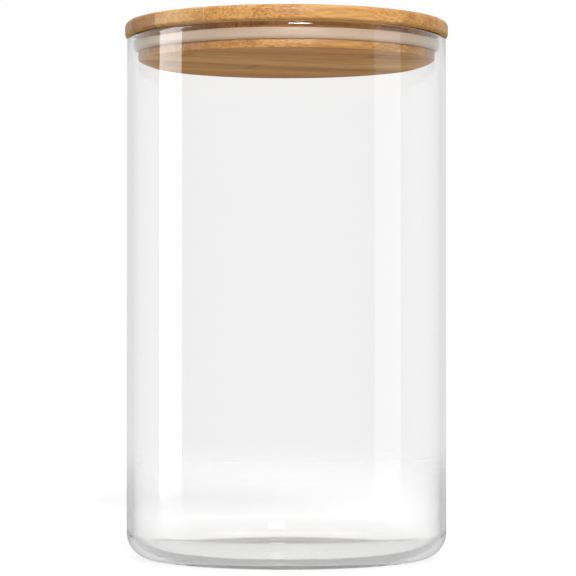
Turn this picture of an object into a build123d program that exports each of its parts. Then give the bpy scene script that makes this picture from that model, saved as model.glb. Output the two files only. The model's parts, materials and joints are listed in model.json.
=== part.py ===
"""A tall glass storage jar with a press-in bamboo lid and a silicone seal.

Units are millimetres. +Z is up, and the origin is the centre of the foot, on the surface the jar stands on.
The jar is one piece of glass. The lid is two boards of edge-glued bamboo strips, a top board that rests on
the rim and a plug board that goes into the mouth, and the seal sits in a groove turned in the plug.
"""

import math
import os

from build123d import *

# Glass jar
JAR_DIAMETER = 150.0
JAR_HEIGHT = 244.0
WALL = 3.0
BASE_THICKNESS = 4.0
FOOT_CORNER_RADIUS = 12.0
FOOT_RING_WIDTH = 5.0
PUSH_UP = 0.8  # how far the middle of the base stands clear of the table
RIM_OUTER_ROUND = 2.2  # the fire-polished rim slopes off outwards and keeps a small flat for the lid
RIM_INNER_ROUND = 0.6

# Top board of the lid
LID_OVERHANG = 1.0  # past the glass all round
TOP_THICKNESS = 7.0
TOP_UPPER_ROUND = 2.5
TOP_LOWER_ROUND = 1.5
TOP_STRIPS = 6

# Plug board of the lid, from the glue face down: upper flange, groove, lower flange
PLUG_WALL_GAP = 2.5  # between the plug and the glass
UPPER_FLANGE = 2.9
GROOVE_HEIGHT = 5.2
LOWER_FLANGE = 3.9
GROOVE_DEPTH = 3.0
PLUG_EDGE_ROUND = 0.6
PLUG_STRIPS = 7

GRAIN_ANGLE = 19.0  # the way the strips run, in degrees from +X

# Silicone seal
SEAL_GROOVE_CLEARANCE = 0.08  # a running fit, so that the plug turns in the ring
SEAL_WALL_CLEARANCE = 0.3
SEAL_UPPER_ROUND = 1.0
SEAL_LOWER_ROUND = 2.0

# Radii that follow from the sizes above
JAR_RADIUS = JAR_DIAMETER / 2
MOUTH_RADIUS = JAR_RADIUS - WALL
FOOT_RADIUS = JAR_RADIUS - FOOT_CORNER_RADIUS
FLOOR_CORNER_RADIUS = FOOT_CORNER_RADIUS - WALL
LID_RADIUS = JAR_RADIUS + LID_OVERHANG
PLUG_RADIUS = MOUTH_RADIUS - PLUG_WALL_GAP
GROOVE_RADIUS = PLUG_RADIUS - GROOVE_DEPTH
SEAL_INNER_RADIUS = GROOVE_RADIUS + SEAL_GROOVE_CLEARANCE
SEAL_OUTER_RADIUS = MOUTH_RADIUS - SEAL_WALL_CLEARANCE

# Heights that follow
LID_UNDERSIDE = JAR_HEIGHT
GROOVE_TOP = LID_UNDERSIDE - UPPER_FLANGE
GROOVE_BOTTOM = GROOVE_TOP - GROOVE_HEIGHT
PLUG_BOTTOM = GROOVE_BOTTOM - LOWER_FLANGE


def turned(section):
    """The solid that a section in the XZ plane sweeps about +Z."""
    return revolve(Plane.XZ * section, Axis.Z)


def disc(radius, bottom, top):
    """A plain round board."""
    return Pos(0, 0, bottom) * extrude(Circle(radius), top - bottom)


def rounded_edges(piece, upper, lower):
    """A round piece with its highest and lowest outer edges rounded by these radii."""
    for place, radius in ((-1, upper), (0, lower)):
        edges = piece.edges().filter_by(GeomType.CIRCLE).group_by(Axis.Z)[place]
        piece = fillet(edges.sort_by(SortBy.RADIUS)[-1], radius)
    return piece


def glass_jar():
    """A straight-sided jar with a rounded foot, a shallow push-up under it and a fire-polished rim."""
    ring_inner_radius = FOOT_RADIUS - FOOT_RING_WIDTH
    dome_radius = (ring_inner_radius**2 + PUSH_UP**2) / (2 * PUSH_UP)
    dome_angle = math.degrees(math.asin(ring_inner_radius / dome_radius))
    dome = JernArc((0, PUSH_UP), (1, 0), dome_radius, -dome_angle)
    foot = Line(dome @ 1, (FOOT_RADIUS, 0))
    outer_corner = JernArc(foot @ 1, (1, 0), FOOT_CORNER_RADIUS, 90)
    rim_outer_round = min(RIM_OUTER_ROUND, 0.75 * WALL)
    rim_inner_round = min(RIM_INNER_ROUND, 0.2 * WALL)
    outside = Line(outer_corner @ 1, (JAR_RADIUS, JAR_HEIGHT - rim_outer_round))
    outer_lip = JernArc(outside @ 1, (0, 1), rim_outer_round, 90)
    lip_flat = Line(outer_lip @ 1, (MOUTH_RADIUS + rim_inner_round, JAR_HEIGHT))
    inner_lip = JernArc(lip_flat @ 1, (-1, 0), rim_inner_round, 90)
    inside = Line(inner_lip @ 1, (MOUTH_RADIUS, BASE_THICKNESS + FLOOR_CORNER_RADIUS))
    inner_corner = JernArc(inside @ 1, (0, -1), FLOOR_CORNER_RADIUS, -90)
    floor = Line(inner_corner @ 1, (0, BASE_THICKNESS))
    axis_line = Line(floor @ 1, dome @ 0)
    outline = [dome, foot, outer_corner, outside, outer_lip, lip_flat, inner_lip, inside, inner_corner, floor]
    return turned(make_face(outline + [axis_line]))


def top_board():
    """The round board that rests on the rim, rounded more above than below."""
    board = disc(LID_RADIUS, LID_UNDERSIDE, LID_UNDERSIDE + TOP_THICKNESS)
    most = 0.45 * TOP_THICKNESS
    return rounded_edges(board, min(TOP_UPPER_ROUND, most), min(TOP_LOWER_ROUND, most))


def plug_board():
    """The smaller board under it, with the seal's groove and a softened lower edge."""
    board = disc(PLUG_RADIUS, PLUG_BOTTOM, LID_UNDERSIDE)
    lower_edge = board.edges().filter_by(GeomType.CIRCLE).sort_by(Axis.Z)[0]
    board = fillet(lower_edge, min(PLUG_EDGE_ROUND, 0.45 * LOWER_FLANGE))
    groove = disc(PLUG_RADIUS + 1, GROOVE_BOTTOM, GROOVE_TOP) - disc(GROOVE_RADIUS, GROOVE_BOTTOM, GROOVE_TOP)
    return board - groove


def strips(board, radius, count):
    """The board as the bamboo strips it is glued from: parallel slices of one width, along the grain."""
    width = 2 * radius / count
    reach = 2 * (radius + 1)
    slices = []
    for i in range(count):
        across = (i + 0.5) * width - radius
        slab = Rot(0, 0, GRAIN_ANGLE) * Pos(0, across, PLUG_BOTTOM) * Box(
            reach, width, reach, align=(Align.CENTER, Align.CENTER, Align.MIN)
        )
        slices.append(board & slab)
    return slices


def seal_ring():
    """A solid silicone ring: square in the groove, and rounded towards the glass, most of all below."""
    bottom = GROOVE_BOTTOM + SEAL_GROOVE_CLEARANCE
    top = GROOVE_TOP - SEAL_GROOVE_CLEARANCE
    ring = disc(SEAL_OUTER_RADIUS, bottom, top) - disc(SEAL_INNER_RADIUS, bottom, top)
    most = 0.45 * (top - bottom)
    return rounded_edges(ring, min(SEAL_UPPER_ROUND, most), min(SEAL_LOWER_ROUND, most))


def nodes():
    """Every piece by its name."""
    pieces = {"glass_jar": glass_jar(), "seal_ring": seal_ring()}
    for i, strip in enumerate(strips(top_board(), LID_RADIUS, TOP_STRIPS), start=1):
        pieces[f"lid_top_strip_{i}"] = strip
    for i, strip in enumerate(strips(plug_board(), PLUG_RADIUS, PLUG_STRIPS), start=1):
        pieces[f"lid_plug_strip_{i}"] = strip
    return pieces


os.makedirs("parts", exist_ok=True)
for name, piece in nodes().items():
    export_step(piece, f"parts/{name}.step")
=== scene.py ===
import json
import math

import bmesh
import bpy
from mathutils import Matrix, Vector


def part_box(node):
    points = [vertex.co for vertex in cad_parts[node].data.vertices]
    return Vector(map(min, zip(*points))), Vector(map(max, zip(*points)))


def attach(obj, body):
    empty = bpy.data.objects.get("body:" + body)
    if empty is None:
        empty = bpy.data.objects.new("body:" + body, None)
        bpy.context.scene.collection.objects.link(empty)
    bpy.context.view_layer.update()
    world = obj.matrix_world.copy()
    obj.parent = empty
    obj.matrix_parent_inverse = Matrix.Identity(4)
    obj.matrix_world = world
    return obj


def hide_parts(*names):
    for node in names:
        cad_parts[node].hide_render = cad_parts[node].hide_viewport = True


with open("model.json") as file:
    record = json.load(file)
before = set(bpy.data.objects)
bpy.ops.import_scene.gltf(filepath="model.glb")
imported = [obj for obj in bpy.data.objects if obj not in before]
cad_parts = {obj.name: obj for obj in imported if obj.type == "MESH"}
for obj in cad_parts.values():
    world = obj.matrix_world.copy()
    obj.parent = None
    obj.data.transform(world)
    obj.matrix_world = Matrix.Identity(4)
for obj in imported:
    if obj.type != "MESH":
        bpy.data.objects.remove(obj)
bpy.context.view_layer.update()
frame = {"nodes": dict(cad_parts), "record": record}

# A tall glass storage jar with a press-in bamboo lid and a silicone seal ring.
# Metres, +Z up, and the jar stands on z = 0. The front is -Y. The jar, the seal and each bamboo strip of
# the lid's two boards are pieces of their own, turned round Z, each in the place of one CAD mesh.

MM = 0.001

# Where the pieces are, from the CAD
_, jar_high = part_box("glass_jar")
seal_low, seal_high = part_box("seal_ring")
TOP_STRIPS = sorted(n for n in frame["nodes"] if n.startswith("lid_top_strip_"))
PLUG_STRIPS = sorted(n for n in frame["nodes"] if n.startswith("lid_plug_strip_"))


def box_round(nodes):
    """The radius, bottom and top of a round board made of these nodes."""
    corners = [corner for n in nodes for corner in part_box(n)]
    radius = min(max(c.x for c in corners), max(c.y for c in corners))
    return radius, min(c.z for c in corners), max(c.z for c in corners)


TOP_RADIUS, TOP_BOTTOM, TOP_TOP = box_round(TOP_STRIPS)
PLUG_RADIUS, PLUG_BOTTOM, PLUG_TOP = box_round(PLUG_STRIPS)
JAR_RADIUS = min(jar_high.x, jar_high.y)
JAR_HEIGHT = jar_high.z
SEAL_RADIUS = min(seal_high.x, seal_high.y)

# Sizes that a box can't give
WALL = 3 * MM
BASE = 4 * MM
FOOT_CORNER = 12 * MM
FOOT_RING = 5 * MM
PUSH_UP = 0.8 * MM
RIM_OUTER_ROUND = 2.2 * MM
RIM_INNER_ROUND = 0.6 * MM
TOP_UPPER_ROUND = 2.5 * MM
TOP_LOWER_ROUND = 1.5 * MM
PLUG_EDGE_ROUND = 0.6 * MM
GROOVE_DEPTH = 3 * MM
SEAL_CLEARANCE = 0.08 * MM
SEAL_UPPER_ROUND = 1.0 * MM
SEAL_LOWER_ROUND = 2.0 * MM
GRAIN_ANGLE = math.radians(19)
SEAM_BREAK = 0.03 * MM  # how far a strip's sharp edges are rubbed down
SHARP = math.radians(50)  # an edge that turns by more than this is rubbed down
SMOOTH = math.radians(35)  # faces that turn by less than this are shaded as one surface
SAME_PLACE = 0.001 * MM  # points nearer than this are one

# Steps round the turned pieces, and points along each end of a strip
JAR_STEPS = 256
SEAL_STEPS = 192
ARC_POINTS = 48

# The boards' strips are numbered apart, so that no two of them look alike
FIRST_TOP_STRIP = 0
FIRST_PLUG_STRIP = 10

# The bamboo, in millimetres
NEXT_STRETCH = (83.0, 31.7, 47.3)  # along, across and up, from one strip's stretch of cane to the next one's
CANE_NODE_SPACING = 210.0

# The studio, in metres
FLOOR_RADIUS = 1.5
FLOOR_SIDES = 64
FLOOR_GAP = 0.05 * MM  # from the foot down to the floor
FLOOR_FADE_START = 0.25
FLOOR_FADE_END = 1.2
CAMERA_PLACE = (0.0007, -1.19, 0.1073)
CAMERA_TILT = math.radians(0.92)  # upwards from level
LENS_MM = 158
SENSOR_MM = 36
BOUNCES = 40
CLEAR_SURFACES = 24

# Kinds of node, and settings, that come up often
MATH = "ShaderNodeMath"
VECTOR_MATH = "ShaderNodeVectorMath"
MAP_RANGE = "ShaderNodeMapRange"
MIX = "ShaderNodeMix"
PLUS = {"operation": "ADD"}
MINUS = {"operation": "SUBTRACT"}
TIMES = {"operation": "MULTIPLY"}
OVER = {"operation": "DIVIDE"}
SMOOTH_STEP = {"interpolation_type": "SMOOTHSTEP"}
COLOURS = {"data_type": "RGBA"}


def linear(hex_colour):
    """An sRGB hex colour as linear RGBA."""
    parts = [int(hex_colour[i : i + 2], 16) / 255 for i in (0, 2, 4)]
    return (*(c / 12.92 if c <= 0.04045 else ((c + 0.055) / 1.055) ** 2.4 for c in parts), 1.0)


def add(tree, kind, settings=None, inputs=None):
    """Adds a node. An input takes a value, a socket, or a node, which gives its first live output."""
    made = tree.nodes.new(kind)
    for key, value in (settings or {}).items():
        setattr(made, key, value)
    for key, value in (inputs or {}).items():
        live = [s for s in made.inputs if s.enabled]
        socket = live[key] if isinstance(key, int) else next(s for s in live if s.name == key)
        if isinstance(value, bpy.types.Node):
            value = next(s for s in value.outputs if s.enabled)
        if isinstance(value, bpy.types.NodeSocket):
            tree.links.new(value, socket)
        else:
            socket.default_value = value
    return made


# ---------------------------------------------------------------- shapes


def arc(centre, radius, start, end, steps):
    """Points on an arc in the profile plane, angles in degrees from the outward radius."""
    turns = [math.radians(start + (end - start) * i / steps) for i in range(steps + 1)]
    return [(centre[0] + radius * math.cos(t), centre[1] + radius * math.sin(t)) for t in turns]


def between(first, last, steps):
    """Points on a straight run, ends left out."""
    return [tuple(a + (b - a) * i / steps for a, b in zip(first, last)) for i in range(1, steps)]


def jar_profile():
    """The jar's section, from the middle of the push-up, over the rim, to the middle of the floor inside."""
    mouth = JAR_RADIUS - WALL
    foot = JAR_RADIUS - FOOT_CORNER
    ring = foot - FOOT_RING
    dome = (ring**2 + PUSH_UP**2) / (2 * PUSH_UP)
    dome_steps = 6
    outward = [ring * i / dome_steps for i in range(dome_steps + 1)]
    under = [(r, PUSH_UP - dome + math.sqrt(dome**2 - r**2)) for r in outward]
    outer_corner = arc((foot, FOOT_CORNER), FOOT_CORNER, -90, 0, 20)
    rim = arc((JAR_RADIUS - RIM_OUTER_ROUND, JAR_HEIGHT - RIM_OUTER_ROUND), RIM_OUTER_ROUND, 0, 90, 14)
    rim += arc((mouth + RIM_INNER_ROUND, JAR_HEIGHT - RIM_INNER_ROUND), RIM_INNER_ROUND, 90, 180, 6)
    inner_corner = arc((foot, BASE + FOOT_CORNER - WALL), FOOT_CORNER - WALL, 0, -90, 16)
    outside = between(outer_corner[-1], rim[0], 12)
    inside = between(rim[-1], inner_corner[0], 12)
    floor = between(inner_corner[-1], (0, BASE), 4) + [(0, BASE)]
    return under + outer_corner + outside + rim + inside + inner_corner + floor


def seal_profile():
    """The seal's section: square in the groove, rounded towards the glass. Its last point is its first."""
    inner = PLUG_RADIUS - GROOVE_DEPTH + SEAL_CLEARANCE
    low, high = seal_low.z, seal_high.z
    upper = arc((SEAL_RADIUS - SEAL_UPPER_ROUND, high - SEAL_UPPER_ROUND), SEAL_UPPER_ROUND, 90, 0, 8)
    lower = arc((SEAL_RADIUS - SEAL_LOWER_ROUND, low + SEAL_LOWER_ROUND), SEAL_LOWER_ROUND, 0, -90, 12)
    return [(inner, low), (inner, high)] + upper + lower + [(inner, low)]


def top_profile():
    """The top board's section, from the middle of its top to the middle of its underside."""
    upper = arc((TOP_RADIUS - TOP_UPPER_ROUND, TOP_TOP - TOP_UPPER_ROUND), TOP_UPPER_ROUND, 90, 0, 10)
    lower = arc((TOP_RADIUS - TOP_LOWER_ROUND, TOP_BOTTOM + TOP_LOWER_ROUND), TOP_LOWER_ROUND, 0, -90, 8)
    return [(0, TOP_TOP)] + upper + lower + [(0, TOP_BOTTOM)]


def plug_profile():
    """The plug board's section: upper flange, groove and lower flange with a softened edge."""
    groove = PLUG_RADIUS - GROOVE_DEPTH
    groove_top = seal_high.z + SEAL_CLEARANCE
    groove_bottom = seal_low.z - SEAL_CLEARANCE
    edge = arc((PLUG_RADIUS - PLUG_EDGE_ROUND, PLUG_BOTTOM + PLUG_EDGE_ROUND), PLUG_EDGE_ROUND, 0, -90, 5)
    flanges = [(PLUG_RADIUS, PLUG_TOP), (PLUG_RADIUS, groove_top), (groove, groove_top)]
    flanges += [(groove, groove_bottom), (PLUG_RADIUS, groove_bottom)]
    return [(0, PLUG_TOP)] + flanges + edge + [(0, PLUG_BOTTOM)]


def tree_with(name, sizes):
    """A geometry tree that takes in a section, a material and these sizes, each with its socket type."""
    tree = bpy.data.node_groups.new(name, "GeometryNodeTree")
    tree.interface.new_socket("Section", in_out="INPUT", socket_type="NodeSocketGeometry")
    for size, kind in sizes.items():
        tree.interface.new_socket(size, in_out="INPUT", socket_type=kind)
    tree.interface.new_socket("Finish", in_out="INPUT", socket_type="NodeSocketMaterial")
    tree.interface.new_socket("Piece", in_out="OUTPUT", socket_type="NodeSocketGeometry")
    given = add(tree, "NodeGroupInput")
    return tree, {socket.name: socket for socket in given.outputs}


def section_grid(tree, given, columns):
    """A grid with a row for each point of the section, and its points' share across, radius and height."""
    section = {"Geometry": given["Section"]}
    count = add(tree, "GeometryNodeAttributeDomainSize", {"component": "MESH"}, section)
    size = {"Size X": 1.0, "Size Y": 1.0, "Vertices X": columns, "Vertices Y": count}
    grid = add(tree, "GeometryNodeMeshGrid", {}, size)
    place = add(tree, "ShaderNodeSeparateXYZ", {}, {0: add(tree, "GeometryNodeInputPosition")})
    across = add(tree, MATH, PLUS, {0: place.outputs[0], 1: 0.5})
    down = add(tree, MATH, PLUS, {0: place.outputs[1], 1: 0.5})
    rows = add(tree, MATH, MINUS, {0: count, 1: 1.0})
    share = add(tree, MATH, TIMES, {0: down, 1: rows})
    row = add(tree, "FunctionNodeFloatToInt", {}, {0: share})
    point = section | {"Value": add(tree, "GeometryNodeInputPosition"), "Index": row}
    found = add(tree, "GeometryNodeSampleIndex", {"data_type": "FLOAT_VECTOR", "domain": "POINT"}, point)
    corner = add(tree, "ShaderNodeSeparateXYZ", {}, {0: found})
    return grid, across, corner.outputs[0], corner.outputs[2]


def finish_tree(tree, given, grid, place, attribute=None):
    """Ends a tree: moves the grid's points, closes its seams, stores the strip's number, sets the finish."""
    moved = add(tree, "GeometryNodeSetPosition", {}, {"Geometry": grid, "Position": place})
    closed = add(tree, "GeometryNodeMergeByDistance", {}, {"Geometry": moved, "Distance": SAME_PLACE})
    if attribute:
        stored = {"Geometry": closed, "Name": attribute, "Value": given["Strip Number"]}
        kind = {"data_type": "FLOAT", "domain": "POINT"}
        closed = add(tree, "GeometryNodeStoreNamedAttribute", kind, stored)
    real = add(tree, "GeometryNodeRealizeInstances", {}, {"Geometry": closed})
    last = add(tree, "GeometryNodeSetMaterial", {}, {"Geometry": real, "Material": given["Finish"]})
    add(tree, "NodeGroupOutput", {}, {"Piece": last})
    return tree


def turned_tree():
    """Turns a section once round Z, as on a lathe."""
    tree, given = tree_with("turned_round_z", {"Steps Round": "NodeSocketInt"})
    columns = add(tree, MATH, PLUS, {0: given["Steps Round"], 1: 1.0})
    grid, across, radius, height = section_grid(tree, given, columns)
    angle = add(tree, MATH, TIMES, {0: across, 1: 2 * math.pi})
    arm = add(tree, "ShaderNodeCombineXYZ", {}, {0: radius, 2: height})
    place = add(tree, "ShaderNodeVectorRotate", {"rotation_type": "Z_AXIS"}, {"Vector": arm, "Angle": angle})
    return finish_tree(tree, given, grid, place)


def strip_tree():
    """Cuts one strip out of a round board: what lies between two lines along the grain, out to the edge.

    A column of the grid is a point of the strip's outline, first along one end's arc, then back along the
    other's. A row of the section with no radius is the middle of the strip's top or underside.
    """
    sizes = {"Low Side": "NodeSocketFloat", "High Side": "NodeSocketFloat", "Grain Angle": "NodeSocketFloat"}
    sizes |= {"Arc Points": "NodeSocketInt", "Strip Number": "NodeSocketFloat"}
    tree, given = tree_with("strip_of_round_board", sizes)
    both_arcs = add(tree, MATH, TIMES, {0: given["Arc Points"], 1: 2.0})
    columns = add(tree, MATH, PLUS, {0: both_arcs, 1: 1.0})
    grid, across, radius, height = section_grid(tree, given, columns)

    # The grid's last column is its first again
    reached = add(tree, MATH, TIMES, {0: across, 1: both_arcs})
    whole = add(tree, MATH, {"operation": "ROUND"}, {0: reached})
    column = add(tree, MATH, {"operation": "FLOORED_MODULO"}, {0: whole, 1: both_arcs})

    # How far each column is along its own arc, counted from the low side
    turning_point = add(tree, MATH, MINUS, {0: given["Arc Points"], 1: 0.5})
    near_end = add(tree, MATH, {"operation": "LESS_THAN"}, {0: column, 1: turning_point})
    far_end = add(tree, MATH, MINUS, {0: 1.0, 1: near_end})
    last_column = add(tree, MATH, MINUS, {0: both_arcs, 1: 1.0})
    back = add(tree, MATH, MINUS, {0: last_column, 1: column})
    near_step = add(tree, MATH, TIMES, {0: near_end, 1: column})
    far_step = add(tree, MATH, TIMES, {0: far_end, 1: back})
    step = add(tree, MATH, PLUS, {0: near_step, 1: far_step})
    arc_steps = add(tree, MATH, MINUS, {0: given["Arc Points"], 1: 1.0})
    share = add(tree, MATH, OVER, {0: step, 1: arc_steps})

    # The angles at which the two sides meet this row's circle
    sides = []
    for side in ("Low Side", "High Side"):
        ratio = add(tree, MATH, OVER, {0: given[side], 1: radius})
        under_one = add(tree, MATH, {"operation": "MINIMUM"}, {0: ratio, 1: 1.0})
        sine = add(tree, MATH, {"operation": "MAXIMUM"}, {0: under_one, 1: -1.0})
        sides.append(add(tree, MATH, {"operation": "ARCSINE"}, {0: sine}))
    span = add(tree, MATH, MINUS, {0: sides[1], 1: sides[0]})
    turn = add(tree, MATH, TIMES, {0: span, 1: share})
    angle = add(tree, MATH, PLUS, {0: sides[0], 1: turn})

    # Along the grain: forwards at the near end and backwards at the far one
    doubled = add(tree, MATH, TIMES, {0: near_end, 1: 2.0})
    end = add(tree, MATH, MINUS, {0: doubled, 1: 1.0})
    cosine = add(tree, MATH, {"operation": "COSINE"}, {0: angle})
    reach = add(tree, MATH, TIMES, {0: cosine, 1: radius})
    along = add(tree, MATH, TIMES, {0: reach, 1: end})

    # Across the grain, or the middle of the strip where the radius is nothing
    both_sides = add(tree, MATH, PLUS, {0: given["Low Side"], 1: given["High Side"]})
    middle = add(tree, MATH, TIMES, {0: both_sides, 1: 0.5})
    no_radius = add(tree, MATH, {"operation": "LESS_THAN"}, {0: radius, 1: 1e-9})
    in_middle = add(tree, MATH, TIMES, {0: no_radius, 1: middle})
    sine = add(tree, MATH, {"operation": "SINE"}, {0: angle})
    off_axis = add(tree, MATH, TIMES, {0: sine, 1: radius})
    sideways = add(tree, MATH, PLUS, {0: off_axis, 1: in_middle})

    flat = add(tree, "ShaderNodeCombineXYZ", {}, {0: along, 1: sideways, 2: height})
    turned = {"Vector": flat, "Angle": given["Grain Angle"]}
    place = add(tree, "ShaderNodeVectorRotate", {"rotation_type": "Z_AXIS"}, turned)
    return finish_tree(tree, given, grid, place, "strip")


def soften_strip(shell, sides):
    """Makes each glued side of a strip one flat face, then rubs down the strip's outward edges a little."""
    for side in sides:
        on_side = set()
        for point in shell.verts:
            across = point.co.y * math.cos(GRAIN_ANGLE) - point.co.x * math.sin(GRAIN_ANGLE)
            if abs(across - side) < SAME_PLACE:
                on_side.add(point)
        pieces = [face for face in shell.faces if on_side.issuperset(face.verts)]
        bmesh.ops.delete(shell, geom=pieces, context="FACES")
        bmesh.ops.edgeloop_fill(shell, edges=[edge for edge in shell.edges if edge.is_boundary])
    bmesh.ops.recalc_face_normals(shell, faces=shell.faces)
    sharp = [edge for edge in shell.edges if edge.is_convex and edge.calc_face_angle(0) > SHARP]
    bmesh.ops.bevel(shell, geom=sharp, offset=SEAM_BREAK, segments=2, profile=0.5, affect="EDGES")
    bmesh.ops.remove_doubles(shell, verts=shell.verts, dist=SAME_PLACE)


def piece_from(name, section, tree, sizes, finish):
    """Runs a tree on a section and returns the plain mesh object that it makes."""
    mesh = bpy.data.meshes.new(name)
    chain = [(i, i + 1) for i in range(len(section) - 1)]
    mesh.from_pydata([(r, 0, z) for r, z in section], chain, [])
    piece = bpy.data.objects.new(name, mesh)
    bpy.context.scene.collection.objects.link(piece)
    modifier = piece.modifiers.new("shape", "NODES")
    modifier.node_group = tree
    for socket in tree.interface.items_tree:
        if socket.in_out == "INPUT" and socket.name in sizes:
            modifier[socket.identifier] = sizes[socket.name]
        elif socket.name == "Finish":
            modifier[socket.identifier] = finish
    evaluated = piece.evaluated_get(bpy.context.evaluated_depsgraph_get())
    made = bpy.data.meshes.new_from_object(evaluated)
    piece.modifiers.clear()
    piece.data = made
    made.name = name
    shell = bmesh.new()
    shell.from_mesh(made)
    bmesh.ops.remove_doubles(shell, verts=shell.verts, dist=0.1 * SAME_PLACE)
    if "Low Side" in sizes:
        soften_strip(shell, (sizes["Low Side"], sizes["High Side"]))
    bmesh.ops.recalc_face_normals(shell, faces=shell.faces)
    shell.to_mesh(made)
    shell.free()
    made.shade_smooth()
    made.set_sharp_from_angle(angle=SMOOTH)
    return piece


# ---------------------------------------------------------------- finishes


def new_finish(name):
    """A material with an empty tree and its output node."""
    finish = bpy.data.materials.new(name)
    finish.use_nodes = True
    finish.node_tree.nodes.clear()
    return finish, finish.node_tree


def clear_glass():
    """Borosilicate glass, fire-polished: colourless, with a faint waviness that bends reflections."""
    finish, tree = new_finish("clear_borosilicate_glass")
    where = add(tree, "ShaderNodeTexCoord").outputs["Object"]
    slow = add(tree, "ShaderNodeTexNoise", {}, {"Vector": where, "Scale": 1 / (45 * MM), "Detail": 1.0})
    wave = add(tree, "ShaderNodeBump", {}, {"Strength": 0.25, "Distance": 0.05 * MM, "Height": slow})
    glass = {"Base Color": linear("FFFFFF"), "Roughness": 0.0, "IOR": 1.47}
    glass |= {"Transmission Weight": 1.0, "Normal": wave}
    body = add(tree, "ShaderNodeBsdfPrincipled", {}, glass)
    # Light on its way to other things goes straight through, and each surface takes a little of it
    through = add(tree, "ShaderNodeBsdfTransparent", {}, {"Color": linear("FAFAFA")})
    path = add(tree, "ShaderNodeLightPath")
    for ray in ("Is Shadow Ray", "Is Diffuse Ray"):
        body = add(tree, "ShaderNodeMixShader", {}, {0: path.outputs[ray], 1: body, 2: through})
    add(tree, "ShaderNodeOutputMaterial", {}, {"Surface": body})
    return finish


def silicone():
    """Moulded food-grade silicone: milky, lets light a little way in, satin from the mould."""
    finish, tree = new_finish("milky_moulded_silicone")
    where = add(tree, "ShaderNodeTexCoord").outputs["Object"]
    mould = add(tree, "ShaderNodeTexNoise", {}, {"Vector": where, "Scale": 1 / (0.6 * MM), "Detail": 2.0})
    grain = add(tree, "ShaderNodeBump", {}, {"Strength": 0.15, "Distance": 0.01 * MM, "Height": mould})
    body = {"Base Color": linear("F0DBC4"), "Roughness": 0.38, "IOR": 1.41, "Subsurface Weight": 0.4}
    body |= {"Subsurface Radius": (1.0, 0.8, 0.65), "Subsurface Scale": 1.5 * MM, "Transmission Weight": 0.5}
    body |= {"Normal": grain}
    shader = add(tree, "ShaderNodeBsdfPrincipled", {}, body)
    add(tree, "ShaderNodeOutputMaterial", {}, {"Surface": shader})
    return finish


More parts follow.
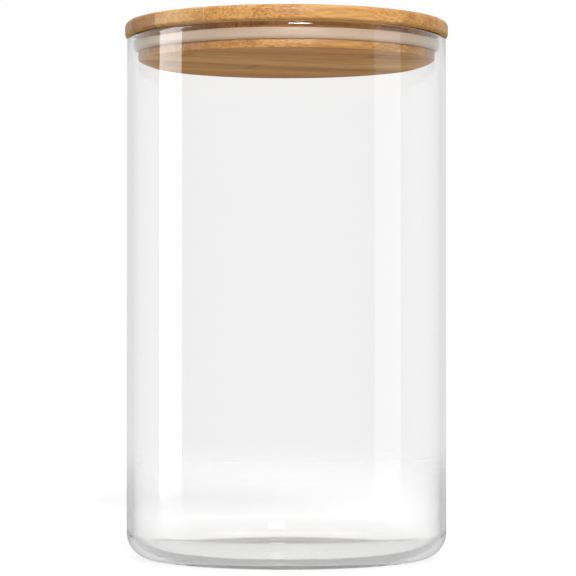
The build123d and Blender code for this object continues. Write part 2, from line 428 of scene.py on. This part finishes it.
def oiled_bamboo(name, light, deep):
    """Laminated bamboo, sanded and oiled: fine fibres, and darker bundles that show as dots where cut."""
    finish, tree = new_finish(name)
    coordinates = add(tree, "ShaderNodeTexCoord")
    # Millimetres along the grain, across it and up
    turned = {"Vector": coordinates.outputs["Object"], "Angle": -GRAIN_ANGLE}
    grain = add(tree, "ShaderNodeVectorRotate", {"rotation_type": "Z_AXIS"}, turned)
    size = add(tree, VECTOR_MATH, {"operation": "SCALE"}, {0: grain, "Scale": 1 / MM})
    # Each strip comes from another stretch of cane
    strip = add(tree, "ShaderNodeAttribute", {"attribute_name": "strip"}).outputs["Fac"]
    shift = add(tree, VECTOR_MATH, {"operation": "SCALE"}, {0: NEXT_STRETCH, "Scale": strip})
    cane = add(tree, VECTOR_MATH, PLUS, {0: size, 1: shift})

    def pattern(kind, pitch, inputs):
        """A texture of the cane with this pitch along the grain, across it and up, in millimetres."""
        scaled = add(tree, VECTOR_MATH, TIMES, {0: cane, 1: tuple(1 / p for p in pitch)})
        return add(tree, kind, {}, {"Vector": scaled, "Scale": 1.0} | inputs)

    bundles = pattern("ShaderNodeTexVoronoi", (40.0, 0.9, 0.9), {})
    dots = add(tree, MAP_RANGE, SMOOTH_STEP, {0: bundles, 1: 0.18, 2: 0.5, 3: 1.0, 4: 0.0})
    fibres = pattern("ShaderNodeTexNoise", (22.0, 0.7, 0.7), {"Detail": 3.0, "Roughness": 0.6})
    clouds = pattern("ShaderNodeTexNoise", (60.0, 4.0, 4.0), {"Detail": 2.0})

    # A node of the cane crosses the strip as a darker, wavy band
    wander = pattern("ShaderNodeTexNoise", (12.0, 5.0, 5.0), {"Detail": 2.0})
    sway = add(tree, MATH, TIMES, {0: wander, 1: 7.0})
    along = add(tree, "ShaderNodeSeparateXYZ", {}, {0: cane})
    wavy = add(tree, MATH, PLUS, {0: along, 1: sway})
    in_spacing = add(tree, MATH, {"operation": "FLOORED_MODULO"}, {0: wavy, 1: CANE_NODE_SPACING})
    past_node = add(tree, MATH, MINUS, {0: in_spacing, 1: CANE_NODE_SPACING / 2})
    off_node = add(tree, MATH, {"operation": "ABSOLUTE"}, {0: past_node})
    knuckle = add(tree, MAP_RANGE, SMOOTH_STEP, {0: off_node, 1: 0.6, 2: 3.4, 3: 1.0, 4: 0.0})

    # How squarely the surface cuts the fibres
    normal = coordinates.outputs["Normal"]
    grain_way = (math.cos(GRAIN_ANGLE), math.sin(GRAIN_ANGLE), 0.0)
    facing = add(tree, VECTOR_MATH, {"operation": "DOT_PRODUCT"}, {0: normal, 1: grain_way})
    square = add(tree, MATH, {"operation": "ABSOLUTE"}, {0: facing.outputs["Value"]})
    end_grain = add(tree, MAP_RANGE, SMOOTH_STEP, {0: square, 1: 0.35, 2: 0.95})
    cut = add(tree, MAP_RANGE, SMOOTH_STEP, {0: square, 1: 0.12, 2: 0.36})
    less_at_ends = add(tree, MAP_RANGE, SMOOTH_STEP, {0: square, 1: 0.6, 2: 0.85, 3: 1.0, 4: 0.45})
    slant = add(tree, MATH, TIMES, {0: cut, 1: less_at_ends})

    # The colour: streaks, dots, soaked end grain, then the cane's nodes
    fibre_tone = add(tree, MATH, TIMES, {0: fibres, 1: 0.75})
    cloud_tone = add(tree, MATH, TIMES, {0: clouds, 1: 0.55})
    tone = add(tree, MATH, PLUS, {0: fibre_tone, 1: cloud_tone})
    streaks = add(tree, MAP_RANGE, SMOOTH_STEP, {0: tone, 1: 0.5, 2: 0.84})
    plain = add(tree, MIX, COLOURS, {0: streaks, 1: linear(light), 2: linear(deep)})
    darker = add(tree, MATH, TIMES, {0: slant, 1: 0.32})
    dark = add(tree, MATH, PLUS, {0: 0.1, 1: darker})
    dot_share = add(tree, MATH, TIMES, {0: dots, 1: dark})
    dotted = add(tree, MIX, COLOURS, {0: dot_share, 1: plain, 2: linear("6E3C16")})
    end_share = add(tree, MATH, TIMES, {0: end_grain, 1: 0.2})
    soak = {0: end_share, 1: dotted, 2: linear("D9AE7E")}
    soaked = add(tree, MIX, COLOURS | {"blend_type": "MULTIPLY"}, soak)
    knuckle_share = add(tree, MATH, TIMES, {0: knuckle, 1: 0.55})
    colour = add(tree, MIX, COLOURS, {0: knuckle_share, 1: soaked, 2: linear("8E5C30")})

    # The fibres stand up a little, and the dots are lower and rougher
    raised = add(tree, MATH, TIMES, {0: fibres, 1: 0.6})
    sunk = add(tree, MATH, TIMES, {0: dots, 1: 0.5})
    relief = add(tree, MATH, MINUS, {0: raised, 1: sunk})
    bump = add(tree, "ShaderNodeBump", {}, {"Strength": 0.5, "Distance": 0.04 * MM, "Height": relief})
    dot_grit = add(tree, MATH, TIMES, {0: dots, 1: 0.4})
    grit = add(tree, MATH, PLUS, {0: fibres, 1: dot_grit})
    rough = add(tree, MAP_RANGE, SMOOTH_STEP, {0: grit, 1: 0.2, 2: 1.1, 3: 0.36, 4: 0.54})

    # The underside is dull, and its colour is pulled a little towards a darker brown as painted shade
    upward = add(tree, "ShaderNodeSeparateXYZ", {}, {0: normal}).outputs["Z"]
    underside = add(tree, MAP_RANGE, SMOOTH_STEP, {0: upward, 1: -0.9, 2: -0.4, 3: 1.0, 4: 0.0})
    underside_shade_share = add(tree, MATH, TIMES, {0: underside, 1: 0.15})
    painted_shade_colour = add(tree, MIX, COLOURS, {0: underside_shade_share, 1: colour, 2: linear("9C6A30")})
    dull = add(tree, MATH, {"operation": "MAXIMUM"}, {0: rough, 1: underside})
    wood = {"Base Color": painted_shade_colour, "Roughness": dull, "IOR": 1.45, "Specular IOR Level": 0.36, "Normal": bump}
    shader = add(tree, "ShaderNodeBsdfPrincipled", {}, wood)
    add(tree, "ShaderNodeOutputMaterial", {}, {"Surface": shader})
    return finish


def studio_white():
    """A matt white floor with a faint gloss, which fades out before its edge."""
    finish, tree = new_finish("studio_white_floor")
    matt = add(tree, "ShaderNodeBsdfDiffuse", {}, {"Color": linear("F6F6F6")})
    # It looks darker to matt surfaces and in reflections, as a small sweep in a dim room does
    path = add(tree, "ShaderNodeLightPath")
    for seen, hex_colour in (("Is Diffuse Ray", "D2D2D2"), ("Glossy Depth", "B4B4B4")):
        shade = add(tree, "ShaderNodeBsdfDiffuse", {}, {"Color": linear(hex_colour)})
        matt = add(tree, "ShaderNodeMixShader", {}, {0: path.outputs[seen], 1: matt, 2: shade})
    gloss = add(tree, "ShaderNodeBsdfGlossy", {}, {"Color": linear("FFFFFF"), "Roughness": 0.03})
    floor = add(tree, "ShaderNodeMixShader", {}, {0: 0.05, 1: matt, 2: gloss})
    where = add(tree, "ShaderNodeTexCoord").outputs["Object"]
    away = add(tree, VECTOR_MATH, {"operation": "LENGTH"}, {0: where})
    spread = {0: away.outputs["Value"], 1: FLOOR_FADE_START, 2: FLOOR_FADE_END}
    fade = add(tree, MAP_RANGE, SMOOTH_STEP, spread)
    clear = add(tree, "ShaderNodeBsdfTransparent")
    shader = add(tree, "ShaderNodeMixShader", {}, {0: fade, 1: floor, 2: clear})
    add(tree, "ShaderNodeOutputMaterial", {}, {"Surface": shader})
    return finish


# ---------------------------------------------------------------- pieces

TURNED = turned_tree()
STRIP = strip_tree()
GLASS = clear_glass()
SILICONE = silicone()
BAMBOO = {
    "bamboo_pale": oiled_bamboo("oiled_bamboo_pale", "D8AA68", "B88548"),
    "bamboo_honey": oiled_bamboo("oiled_bamboo_honey", "D09D5C", "AC763A"),
    "bamboo_brown": oiled_bamboo("oiled_bamboo_brown", "C49052", "9C6834"),
}
slot_of = {part["node"]: part["material_slot"] for part in frame["record"]["subparts"]}


def place(piece, body, node, slot):
    """Hangs a piece on its body's empty and hides the CAD node that it takes the place of. The slot is not
    used.
    """
    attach(piece, body)
    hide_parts(node)


jar = piece_from("storage_jar_glass", jar_profile(), TURNED, {"Steps Round": JAR_STEPS}, GLASS)
place(jar, "jar", "glass_jar", "clear_glass")
seal = piece_from("lid_seal_ring", seal_profile(), TURNED, {"Steps Round": SEAL_STEPS}, SILICONE)
place(seal, "seal", "seal_ring", "silicone")

for nodes, section, radius, first in (
    (TOP_STRIPS, top_profile(), TOP_RADIUS, FIRST_TOP_STRIP),
    (PLUG_STRIPS, plug_profile(), PLUG_RADIUS, FIRST_PLUG_STRIP),
):
    width = 2 * radius / len(nodes)
    for i, node in enumerate(nodes):
        sizes = {"Low Side": i * width - radius, "High Side": (i + 1) * width - radius}
        sizes |= {"Grain Angle": GRAIN_ANGLE, "Arc Points": ARC_POINTS, "Strip Number": float(first + i)}
        strip = piece_from(node.replace("lid_", "bamboo_"), section, STRIP, sizes, BAMBOO[slot_of[node]])
        place(strip, "lid", node, slot_of[node])

# ---------------------------------------------------------------- studio

turns = [math.tau * i / FLOOR_SIDES for i in range(FLOOR_SIDES)]
rim = [(FLOOR_RADIUS * math.cos(t), FLOOR_RADIUS * math.sin(t), -FLOOR_GAP) for t in turns]
floor_mesh = bpy.data.meshes.new("studio_floor")
floor_mesh.from_pydata(rim, [], [list(range(FLOOR_SIDES))])
floor_mesh.materials.append(studio_white())
floor = bpy.data.objects.new("studio_floor", floor_mesh)
bpy.context.scene.collection.objects.link(floor)


def softbox(name, where, aim, width, height, radiance, diffuse=True, glossy=True):
    """A soft rectangular light, hidden from the camera. Radiance is in W per square metre and steradian."""
    lamp = bpy.data.lights.new(name, "AREA")
    lamp.shape = "RECTANGLE"
    lamp.size = width
    lamp.size_y = height
    lamp.energy = radiance * math.pi * width * height
    light = bpy.data.objects.new(name, lamp)
    bpy.context.scene.collection.objects.link(light)
    light.location = where
    light.rotation_mode = "QUATERNION"
    light.rotation_quaternion = (Vector(aim) - Vector(where)).to_track_quat("-Z", "Y")
    light.visible_camera = False
    light.visible_diffuse = diffuse
    light.visible_glossy = glossy
    light.visible_transmission = glossy and diffuse  # a side lamp isn't seen through the glass


softbox("left_strip_softbox", (-1.0, -0.03, 0.42), (0, 0, 0.42), 0.39, 1.1, 7.0, diffuse=False)
softbox("right_fill_softbox", (1.1, -0.3, 0.3), (0, 0, 0.3), 0.47, 0.7, 1.6, diffuse=False)
softbox("front_key_softbox", (0.25, -1.585, 1.057), (0, 0, 0.24), 0.39, 0.6, 40.0)
softbox("rim_strip_softbox", (0.3, -1.35, 1.25), (0, 0, 0.24), 0.33, 1.3, 9.0, diffuse=False)
softbox("rear_key_softbox", (-0.35, 1.57, 1.06), (0, 0, 0.24), 0.6, 0.6, 10.0, glossy=False)
softbox("overhead_softbox", (0, 0.1, 1.6), (0, 0.1, 0), 1.6, 1.6, 1.7)

world = bpy.data.worlds.new("white_studio")
world.use_nodes = True
sky = world.node_tree
sky.nodes.clear()
# The backdrop is white, gloss mirrors a room that is dim in front, and matt surfaces get an even grey
path = add(sky, "ShaderNodeLightPath")
where = add(sky, "ShaderNodeTexCoord").outputs["Generated"]
way = add(sky, "ShaderNodeSeparateXYZ", {}, {0: where})
grey = add(sky, MAP_RANGE, SMOOTH_STEP, {0: way.outputs["Y"], 1: -0.3, 2: 0.75, 3: 0.1, 4: 0.75})
more_than = {"operation": "GREATER_THAN"}
mirrored = add(sky, MATH, more_than, {0: path.outputs["Glossy Depth"], 1: 0.5})
backdrop = add(sky, MIX, COLOURS, {0: mirrored, 1: (1, 1, 1, 1), 2: grey})
scattered = add(sky, MATH, more_than, {0: path.outputs["Diffuse Depth"], 1: 0.5})
seen = add(sky, MIX, COLOURS, {0: scattered, 1: backdrop, 2: (0.3, 0.3, 0.3, 1)})
shine = add(sky, "ShaderNodeBackground", {}, {"Color": seen})
add(sky, "ShaderNodeOutputWorld", {}, {"Surface": shine})
bpy.context.scene.world = world
world.cycles.sampling_method = "NONE"  # sampled light ignores what sort of ray asks for it
bpy.context.scene.view_settings.view_transform = "Standard"
# Light goes back and forth many times inside the glass before it gets out
for bounces in ("max_bounces", "transmission_bounces", "glossy_bounces"):
    setattr(bpy.context.scene.cycles, bounces, BOUNCES)
bpy.context.scene.cycles.transparent_max_bounces = CLEAR_SURFACES

camera_data = bpy.data.cameras.new("camera")
camera_data.lens = LENS_MM
camera_data.sensor_width = SENSOR_MM
camera = bpy.data.objects.new("camera", camera_data)
bpy.context.scene.collection.objects.link(camera)
camera.location = CAMERA_PLACE
camera.rotation_euler = (math.radians(90) + CAMERA_TILT, 0, 0)
bpy.context.scene.camera = camera
